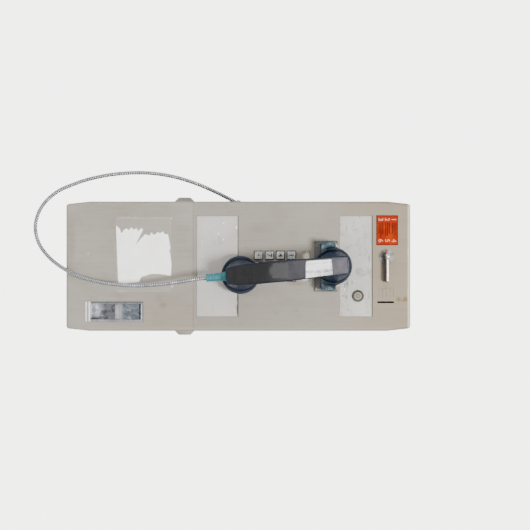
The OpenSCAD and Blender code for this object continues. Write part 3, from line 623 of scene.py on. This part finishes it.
def soften(ob, width):
    """Rounds the sharp edges of a hard-surface piece and shades it smooth."""
    ob.data.polygons.foreach_set("use_smooth", [True] * len(ob.data.polygons))
    add_modifier(ob, "WELD", merge_threshold=0.002 * MM)
    add_modifier(ob, "DECIMATE", decimate_type="DISSOLVE", angle_limit=math.radians(0.3))
    add_modifier(ob, "BEVEL", width=width, segments=2, limit_method="ANGLE",
                 angle_limit=math.radians(35), use_clamp_overlap=True)
    add_modifier(ob, "WEIGHTED_NORMAL", keep_sharp=False, weight=80)


# ---- CAD nodes that stay: material and softened edges ----

# Edge radius in mm by node; other nodes take a fine break
EDGE = {"cradle_plate": 0.6, "hook_fork": 1.2, "vault_door": 0.5, "coin_return_frame": 0.5,
        "coin_return_flap": 0.5, "coin_return_tray": 0.6, "release_lever": 0.3,
        "lever_bush": 0.5, "housing_lock": 0.8, "vault_lock": 0.8, "volume_switch": 0.5, "volume_button": 0.5,
        "ear_cap": 0.8, "mouth_cap": 0.8, "upper_placard": 0.25, "lower_placard": 0.25, "number_lens": 0.3,
        "instruction_label": 0.08, "number_card": 0.08, "lever_spring": 0, "hook_spring": 0}


def dress_cad_nodes():
    """Gives each CAD node its material and its edge."""
    slots = {row["node"]: row["material_slot"] for row in frame["record"]["subparts"]}
    own = {"cradle_plate": CRADLE, "hook_fork": HORN, "lever_bush": BUSH, "release_lever": LEVER,
           "coin_return_flap": FLAP, "coin_return_tray": TRAY, "volume_switch": COLLAR}
    for name, ob in NODES.items():
        ob.data.materials.clear()
        ob.data.materials.append(own.get(name, MATERIALS[slots[name]]))
        width = EDGE.get(name, 0.9 if name.startswith("key_") else 0.25)
        if width:
            soften(ob, width * MM)


dress_cad_nodes()


# ---- armoured cord ----

CORD_R = 3.2 * MM
GROOVE = 0.6 * MM
LEAN = math.radians(5.34)


def handset_point(x, y, z):
    """A point in the handset's own frame, in mm, at the place where the handset hangs."""
    c, s = math.cos(LEAN), math.sin(LEAN)
    return Vector((x * c - z * s, y - 155, x * s + z * c + 149)) * MM


def cord_route():
    """The route's points from the gland to the sleeve, as in the part's source."""
    start_dir = Vector((-0.5, 0, -0.866))
    start = Vector((-100, -60, 0)) + start_dir * 6.1
    end = handset_point(0, -24, -199.5) / MM
    end_dir = Vector((math.sin(LEAN), 0, -math.cos(LEAN)))
    middle = [(-120, -64, -38), (-133.5, -72, -70), (-144.5, -82, -108), (-149.5, -90, -148),
              (-148, -98, -190), (-141.5, -105, -228), (-131.5, -111, -260), (-117, -118, -290),
              (-94, -125, -312), (-65, -132, -321),
              (-35, -140, -314), (-8, -149, -291), (13, -157, -256), (25, -163, -215), (30, -168, -170),
              (29, -172, -132), (25, -176, -96)]
    points = [start, start + start_dir * 4, start + start_dir * 9, *map(Vector, middle),
              end + end_dir * 18, end + end_dir * 7, end]
    return [p * MM for p in points]


def smooth_line(points, step):
    """Points at equal steps along a Catmull-Rom curve through points."""
    dense = []
    last = len(points) - 1
    for i in range(last):
        a, b, c, d = points[max(i - 1, 0)], points[i], points[i + 1], points[min(i + 2, last)]
        for k in range(40):
            t = k / 40
            dense.append(0.5 * (2 * b + (c - a) * t + (2 * a - 5 * b + 4 * c - d) * t * t
                                + (3 * b - a - 3 * c + d) * t ** 3))
    dense.append(points[-1])
    length = sum((q - p).length for p, q in zip(dense, dense[1:]))
    count = round(length / step)
    out, along, goal = [dense[0]], 0.0, length / count
    for p, q in zip(dense, dense[1:]):
        piece = (q - p).length
        while along + piece >= goal - 1e-12 and len(out) < count:
            out.append(p.lerp(q, (goal - along) / piece))
            goal += length / count
        along += piece
    out.append(dense[-1])
    return out, length


def tube(name, line, depth, sides, material):
    """A closed tube along line; depth(along, angle), from 0 to 1, says how deep in a groove a point is."""
    verts, faces, grooves = [], [], []
    normal, along = None, 0.0
    for i, p in enumerate(line):
        tangent = (line[min(i + 1, len(line) - 1)] - line[max(i - 1, 0)]).normalized()
        normal = Vector((0, 1, 0)) if normal is None else normal
        normal = (normal - tangent * normal.dot(tangent)).normalized()
        side = tangent.cross(normal)
        along += (p - line[i - 1]).length if i else 0
        for k in range(sides):
            angle = 2 * math.pi * k / sides
            grooves.append(depth(along, angle))
            radius = CORD_R - GROOVE * grooves[-1]
            verts.append(p + (normal * math.cos(angle) + side * math.sin(angle)) * radius)
        if i:
            for k in range(sides):
                j = (k + 1) % sides
                a, b = (i - 1) * sides, i * sides
                faces.append((a + k, a + j, b + j, b + k))
    faces.append(tuple(reversed(range(sides))))
    faces.append(tuple(range(len(verts) - sides, len(verts))))
    ob = make_piece(name, verts, faces, material)
    ob.data.attributes.new("groove", "FLOAT", "POINT").data.foreach_set("value", grooves)
    return ob


def build_cord():
    pitch = 2.9 * MM
    line, length = smooth_line(cord_route(), pitch / 8)

    def winding(along, angle):
        turn = (along / pitch + angle / (2 * math.pi)) % 1
        return 1 - math.sin(math.pi * turn)

    cord = tube("conduit", line, winding, 20, MATERIALS["conduit_steel"])
    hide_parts("armoured_cord")
    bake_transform(cord)


build_cord()


# ---- handset ----

def build_handset_shell():
    """Handle with its flared heads: the CAD solid's form with its hull edges run together."""
    shell = bpy.data.objects.new("handset_moulding", NODES["handset_shell"].data.copy())
    bpy.context.scene.collection.objects.link(shell)
    add_modifier(shell, "REMESH", mode="VOXEL", voxel_size=0.8 * MM)
    add_modifier(shell, "SMOOTH", factor=0.5, iterations=7)
    apply_modifiers(shell)
    shell.data.materials.clear()
    shell.data.materials.append(MATERIALS["black_plastic"])
    shell.data.polygons.foreach_set("use_smooth", [True] * len(shell.data.polygons))
    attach(shell, "handset")
    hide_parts("handset_shell")
    return shell


def lathe(name, outline, place, turn, sides, material):
    """Turns (radius, height) points in mm about an axis through place."""
    verts, faces = [], []
    for r, h in outline:
        for k in range(sides):
            a = 2 * math.pi * k / sides
            verts.append(place + turn @ Vector((r * math.cos(a), r * math.sin(a), h)) * MM)
    for i in range(len(outline) - 1):
        for k in range(sides):
            j = (k + 1) % sides
            faces.append((i * sides + k, i * sides + j, (i + 1) * sides + j, (i + 1) * sides + k))
    faces.append(tuple(reversed(range(sides))))
    faces.append(tuple(range(len(verts) - sides, len(verts))))
    return make_piece(name, verts, faces, material)


def build_sleeve():
    """Ribbed rubber sleeve of the cord, with its collar at the handset."""
    outline = [(4.4, 0), (5.6, 0.1), (5.9, 0.6)]
    ribs = 5
    for i in range(ribs):
        h = 3.2 + i * 4.3
        w = 0.14 * i
        outline += [(5.95 + w, h - 0.5), (5.65 + w, h), (5.65 + w, h + 0.9), (6.05 + w, h + 1.4)]
    outline += [(6.7, 25.5), (6.75, 27.2), (7.1, 27.5), (7.3, 28.2), (7.3, 34.6), (7.0, 35.2), (5.0, 35.5)]
    turn = Matrix.Rotation(-LEAN, 3, "Y")
    sleeve = lathe("sleeve", outline, handset_point(0, -24, -199.5), turn, 40, MATERIALS["teal_rubber"])
    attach(sleeve, "handset")
    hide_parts("strain_relief")


# ---- torn stickers ----

def jagged(a, b, amount, step, rng):
    """Points from a to b, at about every step, each pushed to one side by up to amount."""
    a, b = Vector(a), Vector(b)
    count = max(1, round((b - a).length / step))
    across = Vector((a.y - b.y, b.x - a.x)).normalized()
    points = []
    for i in range(count):
        push = 0 if i == 0 else rng.uniform(-amount, amount)
        points.append(a.lerp(b, i / count) + across * push)
    return points


def torn_outline(corners, rng):
    """Outline through corners of (x, z, roughness of the edge to the next corner), in mm."""
    out = []
    for (x0, z0, rough), (x1, z1, _) in zip(corners, corners[1:] + corners[:1]):
        out += jagged((x0, z0), (x1, z1), rough, 1.1, rng)
    return out


def flat_plate(name, outlines, back, thick, material, body="root"):
    """A thin plate on the plane y = back, with points (x, z) in mm. Outlines after the first are its holes."""
    curve = bpy.data.curves.new(name, "CURVE")
    curve.dimensions = "2D"
    curve.fill_mode = "BOTH"
    curve.extrude = thick / 2
    for outline in outlines:
        spline = curve.splines.new("POLY")
        spline.points.add(len(outline) - 1)
        for point, at in zip(spline.points, outline):
            point.co = (at[0] * MM, at[1] * MM, 0, 1)
        spline.use_cyclic_u = True
    ob = mesh_from(bpy.data.objects.new(name, curve))
    ob.data.transform(Matrix.Translation((0, back - thick / 2, 0)) @ Matrix.Rotation(math.pi / 2, 4, "X"))
    ob.data.materials.clear()
    ob.data.materials.append(material)
    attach(ob, body)
    return ob


def build_torn_sticker():
    """Rest of a poster on the vault cover: clean edges above and below, torn ones left and right."""
    corners = [(-64, -192, 0.3), (-60, -187, 0.5), (-52, -184, 0.5), (-60, -176, 0.6), (-56, -173, 0.4),
               (-61, -168, 0.5), (-57, -164, 0.4), (-60, -160, 0.3), (-55, -157.5, 0.5), (-60, -152.5, 0.4),
               (-57.5, -149.5, 0.2), (-46, -155.5, 0.2), (-32, -162, 0.2), (-45, -151.5, 0.25),
               (-50.5, -146, 0.4), (-48, -140, 0.5), (-53.5, -136, 0.4), (-49, -132.5, 0.4), (-54, -126, 0.5),
               (-51, -123.5, 0.3), (-55, -118, 0.4), (-50, -116, 0.3), (-50.5, -110.5, 0.2), (-29, -107, 0.3),
               (-22.5, -109, 0.3), (-20, -107, 0.15), (-3, -105, 0.15), (15, -106, 0.4), (12, -124, 0.3),
               (12, -137, 0.4), (17, -153, 0.5), (25, -156, 0.3), (26, -171, 0.2), (27, -188.5, 0.1)]
    outline = torn_outline(corners, random.Random(4))
    ob = flat_plate("torn_poster", [outline], FRONT - HAIR, 0.18 * MM, TORN_PAPER)


def build_handle_label(shell):
    """Torn paper label stuck across the front of the handle, following its surface."""
    corners = [v.co for v in shell.data.vertices]
    tree = BVHTree.FromPolygons(corners, [p.vertices for p in shell.data.polygons])
    rng = random.Random(11)
    rows, cols = 110, 80
    tear = [rng.uniform(0, 1.3) ** 2 for _ in range(cols + 1)]
    left = [-12.6 + rng.uniform(-0.4, 0.4) for _ in range(rows + 1)]
    right = [18.6 - 3.0 * (i / rows) ** 0.5 + rng.uniform(-0.7, 0.7) for i in range(rows + 1)]
    low = [-45.5 + 3.0 * (1 - j / cols) ** 2 + rng.uniform(-0.4, 0.4) for j in range(cols + 1)]
    high = [-3.4 - (tear[j] if j < 50 else 2.2 * tear[j]) for j in range(cols + 1)]
    verts, faces = [], []
    for i in range(rows + 1):
        for j in range(cols + 1):
            u, v = j / cols, i / rows
            x = left[i] + (right[i] - left[i]) * u
            z = low[j] + (high[j] - low[j]) * v
            at = handset_point(x, -64, z)
            hit = tree.find_nearest(at)[0]
            verts.append(hit + (at - hit).normalized() * 0.15 * MM)
    for i in range(rows):
        for j in range(cols):
            a = i * (cols + 1) + j
            faces.append((a, a + cols + 1, a + cols + 2, a + 1))
    ob = make_piece("torn_label", verts, faces, LABEL_PAPER)
    add_modifier(ob, "SOLIDIFY", thickness=0.1 * MM, offset=1)
    apply_modifiers(ob)
    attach(ob, "handset")


build_torn_sticker()
HANDSET = build_handset_shell()
build_handle_label(HANDSET)
build_sleeve()


# ---- numerals and marks ----

def glyph_mesh(text, height, depth, weight):
    """A numeral as a mesh that stands upright and faces -Y, centred on its own middle."""
    curve = bpy.data.curves.new("glyph", "FONT")
    curve.body = text
    curve.size = height / 0.7
    curve.extrude = depth / 2
    curve.offset = weight * height
    ob = mesh_from(bpy.data.objects.new("glyph", curve))
    mesh = ob.data
    bpy.data.objects.remove(ob)
    mesh.transform(Matrix.Rotation(math.pi / 2, 4, "X"))
    spread = [[v.co[i] for v in mesh.vertices] for i in (0, 2)]
    middle = [(min(s) + max(s)) / 2 for s in spread]
    mesh.transform(Matrix.Translation((-middle[0], 0, -middle[1])))
    return mesh


def print_numerals(name, items, height, face, body, material, weight=0.03):
    """One piece of numerals printed on the plane y = face; items are (text, x, z) in mm."""
    bm = bmesh.new()
    depth = 0.06 * MM
    for text, x, z in items:
        mesh = glyph_mesh(text, height, depth, weight)
        mesh.transform(Matrix.Translation((x * MM, face - depth / 2 - HAIR / 2, z * MM)))
        bm.from_mesh(mesh)
        bpy.data.meshes.remove(mesh)
    mesh = bpy.data.meshes.new(name)
    bm.to_mesh(mesh)
    bm.free()
    ob = bpy.data.objects.new(name, mesh)
    bpy.context.scene.collection.objects.link(ob)
    mesh.materials.append(material)
    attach(ob, body)
    return ob


def number_the_keys():
    """A digit, a star or a hash on each key."""
    marks = {"key_star": "*", "key_hash": "#"}
    for name in NODES:
        if name.startswith("key_"):
            low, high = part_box(name)
            middle = (low + high) / 2 / MM
            text = marks.get(name, name[-1])
            size = 5.5 if text == "*" else 7.4
            item = (text, middle.x, middle.z)
            ob = print_numerals(name + "_mark", [item], size * MM, low.y, name + "_body", DARK_INK)


def rectangle(x0, x1, z0, z1):
    """Outline of a rectangle, in mm."""
    return [(x0, z0), (x1, z0), (x1, z1), (x0, z1)]


def print_label():
    """Dark red frame, six step numerals and bars for their words."""
    low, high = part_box("instruction_label")
    x0, x1, z0, z1 = low.x / MM, high.x / MM, low.z / MM, high.z / MM
    face, rim = low.y - HAIR / 2, 1.3
    border = [rectangle(x0, x1, z0, z1), rectangle(x0 + rim, x1 - rim, z0 + rim, z1 - rim)]
    flat_plate("label_border", border, face, 0.05 * MM, DARK_RED)
    bars = []
    rows = [z1 - 6.2 - 10.4 * i for i in range(3)]
    rng = random.Random(3)
    for z in rows:
        for drop in (-2.6, 0.2, 3.0):
            bars.append((x0 + 11.5, x0 + rng.uniform(28, 35), z + drop - 0.75, z + drop + 0.75))
    for i, bar in enumerate(bars):
        ob = flat_plate(f"label_bar_{i}", [rectangle(*bar)], face, 0.05 * MM, DARK_RED)
    items = [(str(i + 1), x0 + 6.6, z) for i, z in enumerate(rows)]
    items += [(str(i + 4), x1 - 7.2, z) for i, z in enumerate(rows)]
    ob = print_numerals("label_numerals", items, 7.4 * MM, face, "root", PALE_INK)


def circle(x, z, r, count=40):
    """Outline of a circle, in mm."""
    turns = [2 * math.pi * k / count for k in range(count)]
    return [(x + r * math.cos(a), z + r * math.sin(a)) for a in turns]


def mark_volume():
    """Engraved ring on the button, and the wedge printed below it."""
    low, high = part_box("volume_button")
    middle = (low + high) / 2 / MM
    x, z = middle.x, middle.z
    ring = flat_plate("button_ring", [circle(x, z, 3.0), circle(x, z, 2.3)], low.y - HAIR / 2, 0.05 * MM,
                      BUTTON_GROOVE, "volume")
    z -= 22
    outer = [(x, z - 4.4), (x + 3.4, z + 3.6), (x - 3.4, z + 3.6)]
    inner = [(x, z - 2.4), (x + 2.2, z + 2.9), (x - 2.2, z + 2.9)]
    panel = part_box("upper_placard")[0].y
    wedge = flat_plate("volume_wedge", [outer, inner], panel - HAIR / 2, 0.04 * MM, WORN_INK)


number_the_keys()
print_label()
mark_volume()


# ---- stage ----

def add_stage():
    """Pale floor below the phone, and a soft pale sky: brighter overhead and straight behind the phone."""
    world = bpy.data.worlds.new("studio")
    bpy.context.scene.world = world
    world.use_nodes = True
    tree = world.node_tree
    background = tree.nodes["Background"]
    background.inputs["Color"].default_value = (1.0, 0.985, 0.955, 1)
    place = tree.nodes.new("ShaderNodeTexCoord")
    split = tree.nodes.new("ShaderNodeSeparateXYZ")
    tree.links.new(place.outputs["Generated"], split.inputs["Vector"])
    strength = None
    for axis, start, end, low, high in SKY:
        part = tree.nodes.new("ShaderNodeMapRange")
        part.interpolation_type = "SMOOTHSTEP"
        tree.links.new(split.outputs[axis], part.inputs["Value"])
        for key, number in (("From Min", start), ("From Max", end), ("To Min", low), ("To Max", high)):
            part.inputs[key].default_value = number
        if strength is None:
            strength = part.outputs["Result"]
            continue
        total = tree.nodes.new("ShaderNodeMath")
        tree.links.new(strength, total.inputs[0])
        tree.links.new(part.outputs["Result"], total.inputs[1])
        strength = total.outputs[0]
    tree.links.new(strength, background.inputs["Strength"])
    half = 1.6
    corners = [(x * half, y * half, FLOOR_Z) for x, y in ((-1, -1), (1, -1), (1, 1), (-1, 1))]
    make_piece("floor", corners, [(0, 1, 2, 3)], floor_material())


def floor_material():
    """Pale matt floor."""
    g = Graph("studio_floor", rough=0.8)
    g.set("Base Color", g.mix(g.spread(g.noise(4, 3), 0.3, 0.7), (0.78, 0.77, 0.75), (0.84, 0.83, 0.81)))
    return g.mat


def add_light(name, place, target, size, power, color):
    """A soft square light at place, aimed at target."""
    light = bpy.data.lights.new(name, "AREA")
    light.size = size
    light.energy = power
    light.color = color
    ob = bpy.data.objects.new(name, light)
    ob.location = place
    ob.rotation_euler = (Vector(target) - Vector(place)).to_track_quat("-Z", "Y").to_euler()
    bpy.context.scene.collection.objects.link(ob)


# The sky's strength: axis, from and to along it, and what it adds at either end
SKY = (("Z", 0.1, 0.9, 1.00, 1.6), ("Y", -0.95, -0.2, -0.50, 0), ("Y", 0.93, 0.975, 0, 4.0))
add_stage()
add_light("key", (0.45, -2.3, 1.45), (0, -0.15, 0), 0.6, 128, (1.0, 0.985, 0.96))
add_light("fill", (-1.9, -1.7, 0.2), (0, -0.15, 0), 1.4, 28, (0.97, 0.98, 1.0))
